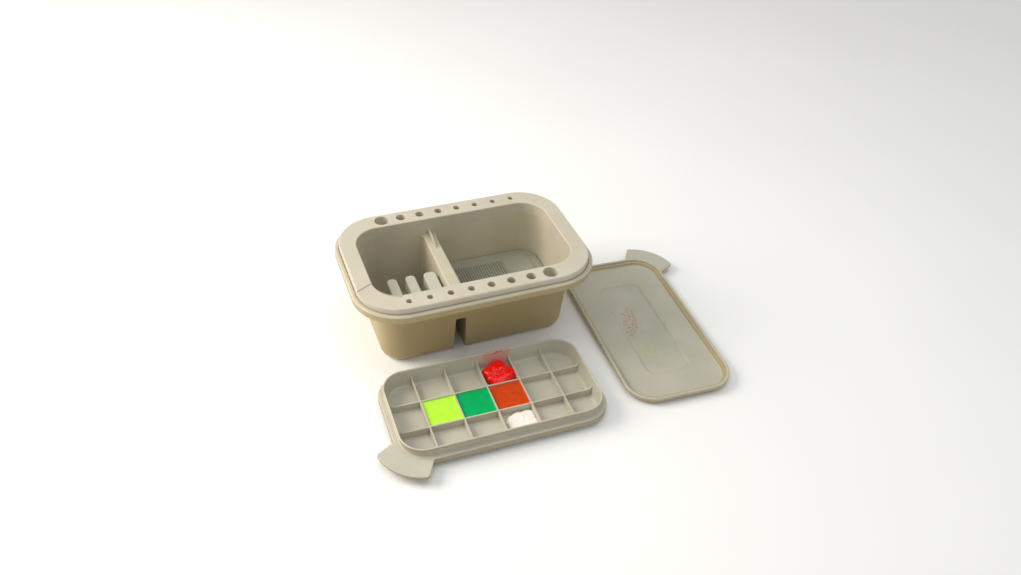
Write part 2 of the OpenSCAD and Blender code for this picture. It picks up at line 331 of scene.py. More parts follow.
def soften(obj: bpy.types.Object, width: float, segments: int = 3, angle: float = 40.0) -> None:
    """Rounds an object's sharp edges by a small bevel.

    Args:
        obj: The object.
        width: Width of the rounding.
        segments: Steps across it.
        angle: Edges sharper than this many degrees are rounded.
    """
    bm = bmesh.new()
    bm.from_mesh(obj.data)
    bmesh.ops.remove_doubles(bm, verts=bm.verts, dist=0.01 * MM)
    bm.to_mesh(obj.data)
    bm.free()
    bevel = obj.modifiers.new("soft edges", "BEVEL")
    bevel.width = width
    bevel.segments = segments
    bevel.limit_method = "ANGLE"
    bevel.angle_limit = math.radians(angle)
    bevel.use_clamp_overlap = True
    bevel.harden_normals = False


def paint_mask(obj: bpy.types.Object, name: str, share: Callable[[Vector], float]) -> None:
    """Stores a share from 0 to 1 for every vertex, for the material to read.

    Args:
        obj: The object.
        name: Name of the attribute.
        share: Gives the share at a place.
    """
    mask = obj.data.attributes.new(name, "FLOAT", "POINT")
    for i, vert in enumerate(obj.data.vertices):
        mask.data[i].value = share(vert.co)


def finish_piece(obj: bpy.types.Object, body: str, material: bpy.types.Material,
                 nodes: Sequence[str] = (), angle: float = SHARP_ANGLE) -> bpy.types.Object:
    """Shades, dresses and mounts a finished piece.

    Args:
        obj: The piece, in place in its mesh.
        body: Name of the body it rides on.
        material: Its material.
        nodes: CAD nodes that it stands for.
        angle: Edges sharper than this stay sharp in the shading.

    Returns:
        The same object.
    """
    obj.data.materials.clear()
    obj.data.materials.append(material)
    for polygon in obj.data.polygons:
        polygon.use_smooth = True
        polygon.material_index = 0
    obj.data.set_sharp_from_angle(angle=angle)
    weighted = obj.modifiers.new("even shading", "WEIGHTED_NORMAL")
    weighted.keep_sharp = True
    weighted.mode = "FACE_AREA"
    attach(obj, body)
    if nodes:
        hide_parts(*nodes)
    LOG.info("%s: %d faces on %s", obj.name, len(obj.data.polygons), body)
    return obj


# ---------------------------------------------------------------- finishes


class Graph:
    """Builds the node tree of one material."""

    def __init__(self, name: str) -> None:
        """Starts an empty material with a Principled shader."""
        self.material = bpy.data.materials.new(name)
        self.material.use_nodes = True
        self.nodes = self.material.node_tree.nodes
        self.links = self.material.node_tree.links
        self.nodes.clear()
        self.output = self.nodes.new("ShaderNodeOutputMaterial")
        self.shader = self.nodes.new("ShaderNodeBsdfPrincipled")
        self.links.new(self.shader.outputs["BSDF"], self.output.inputs["Surface"])
        self.object_coords = self.nodes.new("ShaderNodeTexCoord").outputs["Object"]

    def noise(self, scale: float, detail: float = 3.0, roughness: float = 0.5,
              vector: bpy.types.NodeSocket | None = None) -> bpy.types.NodeSocket:
        """Adds a noise texture and gives its factor."""
        node = self.nodes.new("ShaderNodeTexNoise")
        node.inputs["Scale"].default_value = scale
        node.inputs["Detail"].default_value = detail
        node.inputs["Roughness"].default_value = roughness
        self.links.new(vector or self.object_coords, node.inputs["Vector"])
        return node.outputs["Fac"]

    def remap(self, value: bpy.types.NodeSocket, low: float, high: float, to_low: float = 0.0,
              to_high: float = 1.0, smooth: bool = False) -> bpy.types.NodeSocket:
        """Maps a value from one range to another, held at both ends."""
        node = self.nodes.new("ShaderNodeMapRange")
        node.interpolation_type = "SMOOTHSTEP" if smooth else "LINEAR"
        self.links.new(value, node.inputs["Value"])
        for label, number in (("From Min", low), ("From Max", high),
                              ("To Min", to_low), ("To Max", to_high)):
            node.inputs[label].default_value = number
        return node.outputs["Result"]

    def math(self, kind: str, a: bpy.types.NodeSocket,
             b: bpy.types.NodeSocket | float) -> bpy.types.NodeSocket:
        """Adds a math node."""
        node = self.nodes.new("ShaderNodeMath")
        node.operation = kind
        self.links.new(a, node.inputs[0])
        if isinstance(b, bpy.types.NodeSocket):
            self.links.new(b, node.inputs[1])
        else:
            node.inputs[1].default_value = b
        return node.outputs[0]

    def blend(self, share: bpy.types.NodeSocket, a: bpy.types.NodeSocket | tuple,
              b: bpy.types.NodeSocket | tuple) -> bpy.types.NodeSocket:
        """Mixes two colours by a share from 0 to 1."""
        node = self.nodes.new("ShaderNodeMix")
        node.data_type = "RGBA"
        self.links.new(share, node.inputs[0])
        for socket, colour in ((node.inputs[6], a), (node.inputs[7], b)):
            if isinstance(colour, bpy.types.NodeSocket):
                self.links.new(colour, socket)
            else:
                socket.default_value = colour
        return node.outputs[2]

    def placed(self, centre: Vector, turn: float, size: Vector) -> bpy.types.NodeSocket:
        """Gives coordinates centred, turned and scaled on a spot, so that the spot is 1 across each way."""
        shift = self.nodes.new("ShaderNodeVectorMath")
        shift.operation = "SUBTRACT"
        self.links.new(self.object_coords, shift.inputs[0])
        shift.inputs[1].default_value = centre
        rotate = self.nodes.new("ShaderNodeVectorRotate")
        rotate.rotation_type = "Z_AXIS"
        self.links.new(shift.outputs[0], rotate.inputs["Vector"])
        rotate.inputs["Angle"].default_value = -turn
        scale = self.nodes.new("ShaderNodeVectorMath")
        scale.operation = "DIVIDE"
        self.links.new(rotate.outputs[0], scale.inputs[0])
        scale.inputs[1].default_value = size
        return scale.outputs[0]

    def length(self, vector: bpy.types.NodeSocket) -> bpy.types.NodeSocket:
        """Gives a vector's length."""
        node = self.nodes.new("ShaderNodeVectorMath")
        node.operation = "LENGTH"
        self.links.new(vector, node.inputs[0])
        return node.outputs["Value"]

    def bump(self, height: bpy.types.NodeSocket, strength: float, distance: float) -> None:
        """Adds a bump to the shader's normal."""
        node = self.nodes.new("ShaderNodeBump")
        node.inputs["Strength"].default_value = strength
        node.inputs["Distance"].default_value = distance
        self.links.new(height, node.inputs["Height"])
        self.links.new(node.outputs["Normal"], self.shader.inputs["Normal"])

    def set(self, **values: float) -> None:
        """Sets plain values on the shader's own sockets; underscores stand for spaces."""
        for name, value in values.items():
            self.shader.inputs[name.replace("_", " ")].default_value = value


@dataclass(frozen=True)
class Stain:
    """A smear or tint of paint left on a plastic face.

    Attributes:
        centre: Middle of the mark.
        turn: Its angle about the vertical, in radians.
        size: How far it reaches from its middle each way.
        colour: The paint's colour.
        strength: How much of the plastic it hides, from 0 to 1.
        grain: Scale of the noise that breaks it up.
        cover: How much of its area it fills. A low value leaves specks.
    """

    centre: tuple[float, float, float]
    turn: float
    size: tuple[float, float, float]
    colour: Colour
    strength: float
    grain: float
    cover: float

    def layer(self, graph: Graph, under: bpy.types.NodeSocket | tuple) -> bpy.types.NodeSocket:
        """Lays the stain over a colour.

        Args:
            graph: The material's graph.
            under: The colour below.

        Returns:
            The colour with the stain on it.
        """
        spot = graph.placed(Vector(self.centre), self.turn, Vector(self.size))
        reach = graph.length(spot)
        edge = graph.remap(reach, 1.0, 0.55, 0.0, 1.0, smooth=True)
        specks = graph.noise(self.grain, 4.0, 0.65)
        worn = graph.math("ADD", graph.math("MULTIPLY", edge, self.cover), specks)
        share = graph.remap(worn, 0.87, 0.94, 0.0, self.strength, smooth=True)
        held = graph.math("MULTIPLY", share, graph.remap(reach, 1.0, 0.8, 0.0, 1.0, smooth=True))
        return graph.blend(held, under, linear(self.colour))


@dataclass(frozen=True)
class MouldedPlastic:
    """Satin moulded polypropylene: a little mottled, with a fine grain and faint flow marks, and painted
    warm shade on its outer walls.

    Attributes:
        name: Name of the material.
        colour: The lighter colour of the mottle.
        shade: The darker colour of the mottle.
        outer: Painted warm shade for the outer walls, blended in by the attribute "outside"; it stands for
            shade and warm bounce light, not a colour of the plastic.
        roughness: Middle of the roughness, which varies round it.
        stains: Marks of paint on it.
    """

    name: str
    colour: Colour
    shade: Colour
    # Default painted warm shade for the outer walls, standing for the shade and warm bounce light there.
    outer: Colour = (170, 152, 110)
    roughness: float = 0.44
    stains: tuple[Stain, ...] = ()

    def build(self) -> bpy.types.Material:
        """Builds the material."""
        graph = Graph(self.name)
        mottle = graph.remap(graph.noise(22.0, 4.0, 0.6), 0.32, 0.68, smooth=True)
        colour = graph.blend(mottle, linear(self.shade), linear(self.colour))
        # Painted shade: where the "outside" mask is set, the colour turns to the darker warm outer colour.
        outside = graph.nodes.new("ShaderNodeAttribute")
        outside.attribute_name = "outside"
        colour = graph.blend(outside.outputs["Fac"], colour, linear(self.outer))
        for stain in self.stains:
            colour = stain.layer(graph, colour)
        graph.links.new(colour, graph.shader.inputs["Base Color"])
        rough = graph.remap(graph.noise(160.0, 5.0, 0.6), 0.3, 0.7,
                            self.roughness - 0.06, self.roughness + 0.08)
        graph.links.new(rough, graph.shader.inputs["Roughness"])
        grain = graph.math("MULTIPLY", graph.noise(2200.0, 2.0), 0.6)
        flow = graph.math("ADD", grain, graph.noise(70.0, 2.0))
        graph.bump(flow, 0.16, 0.25 * MM)
        graph.set(Subsurface_Weight=0.06, Subsurface_Scale=2.5 * MM, IOR=1.49)
        return graph.material


@dataclass(frozen=True)
class WetPaint:
    """Thick acrylic paint, from glossy to nearly matt."""

    name: str
    colour: Colour
    deep: Colour
    roughness: float
    ripple: float = 0.2
    shine: float = 0.12

    def build(self) -> bpy.types.Material:
        """Builds the material."""
        graph = Graph(self.name)
        streak = graph.remap(graph.noise(150.0, 4.0, 0.6), 0.3, 0.7, smooth=True)
        graph.links.new(graph.blend(streak, linear(self.deep), linear(self.colour)),
                        graph.shader.inputs["Base Color"])
        rough = graph.remap(graph.noise(300.0, 3.0), 0.3, 0.7, self.roughness, self.roughness + 0.12)
        graph.links.new(rough, graph.shader.inputs["Roughness"])
        graph.bump(graph.noise(240.0, 3.0), self.ripple, 0.6 * MM)
        graph.set(IOR=1.5, Specular_IOR_Level=self.shine)
        return graph.material


@dataclass(frozen=True)
class StudioWhite:
    """The pale studio floor."""

    name: str = "studio_floor"
    colour: Colour = (250, 250, 249)
    shade: Colour = (247, 247, 246)

    def build(self) -> bpy.types.Material:
        """Builds the material."""
        graph = Graph(self.name)
        tone = graph.remap(graph.noise(3.0, 2.0), 0.3, 0.7)
        graph.links.new(graph.blend(tone, linear(self.shade), linear(self.colour)),
                        graph.shader.inputs["Base Color"])
        graph.set(Roughness=0.85)
        return graph.material


# ---------------------------------------------------------------- the tub


@dataclass
class Tub:
    """The basin with its two wells, and the ring of brush sockets on it."""

    corner: float = 51.0 * MM
    lip: float = 5.0 * MM
    ring_gap: float = 0.7 * MM
    deck_end: float = 18.0 * MM
    deck_side: float = 23.0 * MM
    wall: float = 2.4 * MM
    draft: float = 8.0 * MM
    base_round: float = 9.0 * MM
    skirt: float = 9.0 * MM
    cove: float = 11.0 * MM
    divider_drop: float = 7.0 * MM
    divider_x: float = -22.0 * MM
    divider_top: float = 14.4 * MM
    divider_base: float = 19.6 * MM
    slot_top: float = 50.0 * MM
    fin_thick: float = 1.4 * MM
    fin_length: float = 31.0 * MM
    recess: float = 0.8 * MM

    def __post_init__(self) -> None:
        """Reads the tub's levels and outlines from the frame."""
        low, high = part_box("tub")
        ring_low, ring_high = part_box("brush_ring")
        self.top = ring_high.z
        self.seat_z = ring_low.z
        self.lip_z = high.z
        self.divider_z = self.seat_z - self.divider_drop
        self.flange = Outline.centred(high.x - low.x, high.y - low.y, self.corner)
        self.ring = self.flange.inset(self.lip)
        ring = self.ring
        radius = self.corner - self.lip - self.deck_end
        self.opening = Outline(ring.x0 + self.deck_end, ring.x1 - self.deck_end,
                               ring.y0 + self.deck_side, ring.y1 - self.deck_side, (radius,) * 4)

    def lean(self, z: float) -> float:
        """Gives how far the walls lean in at a height."""
        return self.draft * (1 - z / self.seat_z)

    def outside(self) -> bmesh.types.BMesh:
        """Makes the outer skin: base, leaning walls, cove, skirt and lip."""
        body = self.opening.inset(-self.wall)
        skirt_z = self.lip_z - self.skirt
        wall_top = skirt_z - self.cove
        levels = [(body.inset(self.lean(rise) + inset), rise)
                  for inset, rise in rounded_edge(self.base_round, 8)]
        levels += [(body.inset(self.lean(wall_top) - out), wall_top + rise)
                   for out, rise in rounded_edge(self.cove, 8, opening=False)]
        levels += [(self.flange.inset(inset), skirt_z + rise) for inset, rise in rounded_edge(1.6 * MM, 4)]
        lip_round = 2.2 * MM
        levels += [(self.flange.inset(inset), self.lip_z - lip_round + rise)
                   for inset, rise in rounded_edge(lip_round, 6, opening=False)]
        return loft(levels, FINE_STEPS)

    def well(self, side: int) -> bmesh.types.BMesh:
        """Makes the space of one well.

        Args:
            side: -1 for the small well, 1 for the large one.

        Returns:
            The closed form that is cut out of the tub.
        """
        inner_corner = 3.5 * MM
        crown = 1.6 * MM

        def shape(z: float, inset: float, ease: float) -> Outline:
            """Gives the well's outline at a height, taken in by inset and eased towards the divider."""
            lean = self.lean(min(z, self.seat_z)) + inset
            grown = max(self.divider_z - z, 0.0) / self.divider_z
            half = (self.divider_top + (self.divider_base - self.divider_top) * grown) / 2 + inset - ease
            x0 = self.opening.x0 + lean if side < 0 else self.divider_x + half
            x1 = self.divider_x - half if side < 0 else self.opening.x1 - lean
            outer = max(self.opening.radii[0] - lean, 2 * MM)
            inner = max(inner_corner - inset * 0.4, 1.0 * MM)
            radii = (inner, outer, outer, inner) if side < 0 else (outer, inner, inner, outer)
            return Outline(x0, x1, self.opening.y0 + lean, self.opening.y1 - lean, radii)

        floor_round = self.base_round - self.wall
        levels = [(shape(self.wall + rise, inset, 0.0), self.wall + rise)
                  for inset, rise in rounded_edge(floor_round, 6)]
        levels.append((shape(self.divider_z - crown, 0.0, 0.0), self.divider_z - crown))
        for ease, rise in rounded_edge(crown, 4, opening=False)[1:]:
            z = self.divider_z - crown + rise
            levels.append((shape(z, 0.0, ease), z))
        levels.append((levels[-1][0], self.divider_z + MM))
        return loft(levels)

    def mouth(self) -> bmesh.types.BMesh:
        """Makes the space above the divider, where both wells join."""
        return loft([(self.opening.inset(self.lean(self.divider_z)), self.divider_z),
                     (self.opening, self.seat_z), (self.opening, self.top)], FINE_STEPS)

    def slot(self) -> bmesh.types.BMesh:
        """Makes the slot that runs under the divider from front to back."""
        half_base = self.divider_base / 2 - self.wall
        half_top = self.divider_top / 2 - self.wall
        share = (self.divider_z - self.slot_top) / self.divider_z
        half_high = half_top + (half_base - half_top) * share
        bm = bmesh.new()
        bmesh.ops.create_cube(bm, size=1.0)
        reach = self.flange.y1 + 10 * MM
        for vert in bm.verts:
            half = half_high if vert.co.z > 0 else half_base
            vert.co = (self.divider_x + math.copysign(half, vert.co.x), math.copysign(reach, vert.co.y),
                       self.slot_top if vert.co.z > 0 else -2 * MM)
        top_edges = [e for e in bm.edges if all(v.co.z > 0 for v in e.verts)
                     and abs(e.verts[0].co.x - e.verts[1].co.x) < 0.1 * MM]
        bmesh.ops.bevel(bm, geom=top_edges, offset=2.2 * MM, segments=5, affect="EDGES", profile=0.5,
                        material=-1)
        bmesh.ops.recalc_face_normals(bm, faces=bm.faces)
        return bm

    def fin(self) -> bmesh.types.BMesh:
        """Makes the thin curved fin at the back end of the divider's top."""
        back = self.opening.y1 + self.wall / 2
        rise = self.divider_drop - 0.05 * MM
        steps = 18
        points = [(back - self.fin_length, self.divider_z - MM)]
        points += [(back - self.fin_length * i / steps, self.divider_z + rise * (1 - (i / steps) ** 3))
                   for i in range(steps, -1, -1)]
        points.append((back, self.divider_z - MM))
        side = self.divider_x - self.fin_thick / 2
        return prism([(side, y, z) for y, z in points], Vector((self.fin_thick, 0, 0)))

    def build_basin(self, material: bpy.types.Material) -> bpy.types.Object:
        """Builds the basin in one piece."""
        basin = new_object("tub_basin", self.outside())
        seat = self.ring.inset(-self.ring_gap)
        hollow = loft([(seat, self.seat_z), (seat, self.top + MM)], FINE_STEPS)
        for space in (hollow, self.mouth(), self.well(-1), self.well(1), self.slot()):
            combine(basin, space, Join.CUT)
        combine(basin, self.fin(), Join.ADD)
        soften(basin, 0.7 * MM, 3, 48.0)
        # Painted shade: marks the tub's outer walls and flange for the darker warm outer colour.
        paint_mask(basin, "outside", self.painted_shade_share)
        return finish_piece(basin, "tub", material, ["tub"])

    def painted_shade_share(self, place: Vector) -> float:
        """Gives how much painted shade a place takes: 1 on the outer walls, less on the flange, 0 within
        and on the lip.
        """
        middle = self.opening.inset(self.lean(min(place.z, self.seat_z)) - self.wall / 2)
        if middle.reach(place.x, place.y) < 0 or place.z > self.lip_z - 1.5 * MM:
            return 0.0
        return 0.85 if place.z > self.lip_z - self.skirt else 1.0

    def socket(self, centre: tuple[float, float], radius: float) -> bmesh.types.BMesh:
        """Makes the space of one brush socket, with an eased mouth and a round bottom."""
        ease = 0.7 * MM
        bottom = self.seat_z + 1.0 * MM
        profile = [(radius * 0.4, bottom - 0.4 * MM), (radius * 0.8, bottom),
                   (radius, bottom + 0.2 * radius)]
        profile += [(radius + out, self.top - ease + rise)
                    for out, rise in rounded_edge(ease, 4, opening=False)]
        profile.append((radius + ease, self.top + 2 * MM))
        return lathe(profile, centre)

    def tab_seat(self) -> bmesh.types.BMesh:
        """Makes the shallow recess that takes the tray's finger tab when the tray lies on the ring."""
        tab, rim = FingerTab(), Tray.rim_outline()
        low, high = self.top - self.recess, self.top + 2 * MM
        wedge = tab.wedge(rim.radii[0], -tab.over, low, high)
        corner = (rim.x0 + rim.radii[0], rim.y0 + rim.radii[0], 0.0)
        bmesh.ops.translate(wedge, vec=corner, verts=wedge.verts)
        seat = new_object("seat", wedge)
        lip = self.opening.inset(-1.5 * MM)
        combine(seat, loft([(lip, low - MM), (lip, high + MM)]), Join.CUT)
        bm = bmesh.new()
        bm.from_mesh(seat.data)
        mesh = seat.data
        bpy.data.objects.remove(seat)
        bpy.data.meshes.remove(mesh)
        return bm

    def build_ring(self, material: bpy.types.Material) -> bpy.types.Object:
        """Builds the ring with its sockets."""
        low = self.seat_z
        foot, ease, mouth = 0.4 * MM, 1.6 * MM, 1.3 * MM
        levels = [(self.ring.inset(foot), low), (self.ring, low + foot)]
        levels += [(self.ring.inset(inset), self.top - ease + rise)
                   for inset, rise in rounded_edge(ease, 6, opening=False)]
        ring = new_object("brush_ring_moulding", loft(levels, FINE_STEPS))
        hole = [(self.opening, low - MM)]
        hole += [(self.opening.inset(-out), self.top - mouth + rise)
                 for out, rise in rounded_edge(mouth, 6, opening=False)]
        hole.append((self.opening.inset(-mouth), self.top + 2 * MM))
        combine(ring, loft(hole, FINE_STEPS), Join.CUT)
        sockets = [mount for mount in frame["record"]["mounts"] if mount["kind"] == "bore"]
        combine(ring, merged(self.socket((m["pos_m"][0], m["pos_m"][1]), m["dims"]["r_mm"] * MM)
                             for m in sockets), Join.CUT)
        combine(ring, self.tab_seat(), Join.CUT)
        return finish_piece(ring, "tub", material, ["brush_ring"])


# ---------------------------------------------------------------- the inserts


@dataclass
class Inserts:
    """The scrub board in the large well and the brush rest in the small one."""

    tub: Tub
    gap: float = 0.6 * MM
    wall: float = 2.0 * MM
    board_z: float = 36.0 * MM
    border: float = 12.0 * MM
    pad_rise: float = 1.2 * MM
    rib_count: int = 19
    rib_pitch: float = 3.0 * MM
    rib_width: float = 1.5 * MM
    finger_pitch: float = 20.5 * MM
    finger_width: float = 11.0 * MM
    first_width: float = 13.6 * MM
    finger_count: int = 3

    def build_board(self, material: bpy.types.Material) -> bpy.types.Object:
        """Builds the ribbed scrub board."""
        tub = self.tub
        low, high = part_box("scrub_board")
        ease = 1.2 * MM

        def shape(z: float, inset: float) -> Outline:
            """Gives the board's outline at a height."""
            lean = tub.lean(z) + self.gap + inset
            radius = tub.opening.radii[0] - lean
            return Outline(low.x + inset, tub.opening.x1 - lean,
                           tub.opening.y0 + lean, tub.opening.y1 - lean,
                           (radius, 3 * MM, 3 * MM, radius))

        foot = 8.0 * MM
        levels = [(shape(low.z + rise, inset), low.z + rise) for inset, rise in rounded_edge(foot, 6)]
        levels += [(shape(self.board_z - ease + rise, inset), self.board_z - ease + rise)
                   for inset, rise in rounded_edge(ease, 5, opening=False)]
        board = new_object("scrub_board_moulding", loft(levels))
        hollow = [(shape(low.z, self.wall + foot), low.z - MM),
                  (shape(low.z + foot, self.wall), low.z + foot),
                  (shape(self.board_z - self.wall, self.wall), self.board_z - self.wall)]
        combine(board, loft(hollow), Join.CUT)
        lean = tub.lean(self.board_z) + self.border
        pad = Outline(low.x + self.border, tub.opening.x1 - lean,
                      tub.opening.y0 + lean, tub.opening.y1 - lean, (self.border,) * 4)
        pad_edge = 0.7 * MM
        levels = [(pad, self.board_z - 0.5 * MM)]
        levels += [(pad.inset(inset), self.board_z + self.pad_rise - pad_edge + rise)
                   for inset, rise in rounded_edge(pad_edge, 3, opening=False)]
        combine(board, loft(levels), Join.ADD)
        half = (pad.y1 - pad.y0 - self.border) / 2
        starts = [pad.x0 + (i + 1) * self.rib_pitch for i in range(self.rib_count)]
        combine(board, merged(block(Vector((x, -half, self.board_z)),
                                    Vector((x + self.rib_width, half, high.z)), 0.45 * MM)
                              for x in starts), Join.ADD)
        return finish_piece(board, "scrub_board", material, ["scrub_board"])

    def fingers(self, right: float) -> list[tuple[float, float]]:
        """Lists the sides of the rest's fingers. The first is wider and ends at right, by the divider."""
        lefts = [right - self.first_width - i * self.finger_pitch for i in range(self.finger_count)]
        return [(lefts[0], right)] + [(left, left + self.finger_width) for left in lefts[1:]]

    def build_rest(self, material: bpy.types.Material) -> bpy.types.Object:
        """Builds the comb that brushes lie in."""
        tub = self.tub
        low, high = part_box("brush_rest")
        top = high.z
        ease = 1.2 * MM
        tip = 5 * MM
        inner = tip - self.wall
        rest = new_object("brush_rest_moulding", block(
            Vector((tub.opening.x0, low.y - 5 * MM, low.z - 5 * MM)),
            Vector((high.x - MM, low.y + 4 * MM, top - 0.4 * MM)), 0.4 * MM))
        profile = [(0.0, low.z - 4 * MM)]
        profile += [(inset, top - ease + rise) for inset, rise in rounded_edge(ease, 5, opening=False)]
        for left, right in self.fingers(high.x):
            shape = Outline(left, right, low.y - 4 * MM, high.y, (tip, tip, MM, MM))
            combine(rest, loft(along(shape, profile)), Join.ADD)
        for left, right in self.fingers(high.x):
            shape = Outline(left + self.wall, right - self.wall, low.y + 10 * MM, high.y - self.wall,
                            (inner, inner, MM, MM))
            combine(rest, loft(along(shape, [(0.0, low.z - 8 * MM), (0.0, top - self.wall)])), Join.CUT)
        foot = tub.base_round - tub.wall
        room = [(tub.opening.inset(tub.lean(low.z + rise) + self.gap + inset), low.z + rise)
                for inset, rise in rounded_edge(foot, 6)]
        room.append((tub.opening.inset(tub.lean(top) + self.gap), top + MM))
        combine(rest, loft(room, FINE_STEPS), Join.KEEP)
        return finish_piece(rest, "brush_rest", material, ["brush_rest"])


# ---------------------------------------------------------------- tray and lid


@dataclass(frozen=True)
class Placed:
    """Where a loose piece lies on the table."""

    centre: Vector
    turn: float

    @classmethod
    def from_opening(cls, name: str, turn: float) -> "Placed":
        """Reads the centre from one of the record's openings."""
        box = next(o["box_m"] for o in frame["record"]["physics"]["openings"] if o["name"] == name)
        middle = (Vector(box[0]) + Vector(box[1])) / 2
        return cls(Vector((middle.x, middle.y, 0.0)), math.radians(turn))

    def matrix(self) -> Matrix:
        """Gives the transform from the piece's own frame to the table."""
        return Matrix.Translation(self.centre) @ Matrix.Rotation(self.turn, 4, "Z")

    def put(self, obj: bpy.types.Object) -> None:
        """Moves an object's mesh into place."""
        obj.data.transform(self.matrix())


@dataclass(frozen=True)
class FingerTab:
    """The curved tab round one corner of the tray or the lid, with splayed ends.

    Attributes:
        reach: How far it stands out from the corner.
        thick: Its thickness.
        splay: Angle of its ends in degrees, out from square to the sides.
        over: How far its ends start past the corner.
        sunk: How deep its root reaches into the rim.
        end_round: Radius of its tips, seen from above.
        edge: Radius of its edges.
    """

    reach: float = 19.5 * MM
    thick: float = 3.0 * MM
    splay: float = 28.0
    over: float = 2.5 * MM
    sunk: float = 2.6 * MM
    end_round: float = 4.0 * MM
    edge: float = 0.8 * MM

    def wedge(self, radius: float, over: float, low: float, high: float) -> bmesh.types.BMesh:
        """Makes the wedge between the tab's two end lines, for a corner centred on the origin.

        Args:
            radius: The corner's radius.
            over: How far the end lines start past the corner.
            low: Height of the wedge's underside.
            high: Height of its top.

        Returns:
            A new closed bmesh that opens towards -X, -Y.
        """
        slope = math.tan(math.radians(self.splay))
        apex = (over + radius * slope) / (1 - slope)
        far = 5 * radius
        rays = [math.radians(angle) for angle in (180 + self.splay, 225, 270 - self.splay)]
        points = [(apex, apex, low)]
        points += [(apex + far * math.cos(ray), apex + far * math.sin(ray), low) for ray in rays]
        return prism(points, Vector((0, 0, high - low)))

    def half_outline(self, radius: float) -> list[Vector]:
        """Lists the points of the tab's end at +X, from its root to its rounded tip.

        Args:
            radius: The corner's radius. The corner is centred on the origin.

        Returns:
            The points, seen from above. The other end has the same points with x and y swapped.
        """
        slope = math.radians(self.splay)
        out = Vector((-math.sin(slope), -math.cos(slope)))
        inward = Vector((-math.cos(slope), math.sin(slope)))
        start = Vector((self.over, -radius))
        base = start + self.end_round * inward
        ring = radius + self.reach - self.end_round
        middle = base.dot(out)
        centre = base + out * (math.sqrt(middle ** 2 + ring ** 2 - base.length_squared) - middle)
        steps = 7
        tip = [centre + self.end_round * (-inward).slerp(centre.normalized(), i / steps)
               for i in range(steps + 1)]
        return [start - out * self.sunk] + tip

    def build(self, outline: Outline, top: float, mirror: bool = False) -> bmesh.types.BMesh:
        """Makes the tab.

        Args:
            outline: The rim that it grows from.
            top: Height of its upper face.
            mirror: False for the corner at -X, -Y, True for the one at -X, +Y.

        Returns:
            A new closed bmesh.
        """
        radius = outline.radii[0]
        low = top - self.thick
        end = self.half_outline(radius)
        points = end + self.arc(end[-1], 28) + [p.yx for p in reversed(end)] + self.arc(end[0].yx, 20)
        bm = prism([(p.x, p.y, low) for p in points], Vector((0, 0, self.thick)))
        level = [e for e in bm.edges if abs(e.verts[0].co.z - e.verts[1].co.z) < 0.1 * MM]
        bmesh.ops.bevel(bm, geom=level, offset=self.edge, segments=3, affect="EDGES", profile=0.5,
                        material=-1)
        bmesh.ops.translate(bm, vec=(outline.x0 + radius, outline.y0 + radius, 0.0), verts=bm.verts)
        if mirror:
            bmesh.ops.scale(bm, vec=(1, -1, 1), verts=bm.verts)
        bmesh.ops.recalc_face_normals(bm, faces=bm.faces)
        return bm

    @staticmethod
    def arc(start: Vector, steps: int) -> list[Vector]:
        """Lists the points between a point and its mirror image across the corner's middle."""
        begin = math.atan2(start.y, start.x) % (2 * math.pi)
        sweep = math.radians(450) - 2 * begin
        angles = [begin + sweep * i / steps for i in range(1, steps)]
        return [start.length * Vector((math.cos(angle), math.sin(angle))) for angle in angles]


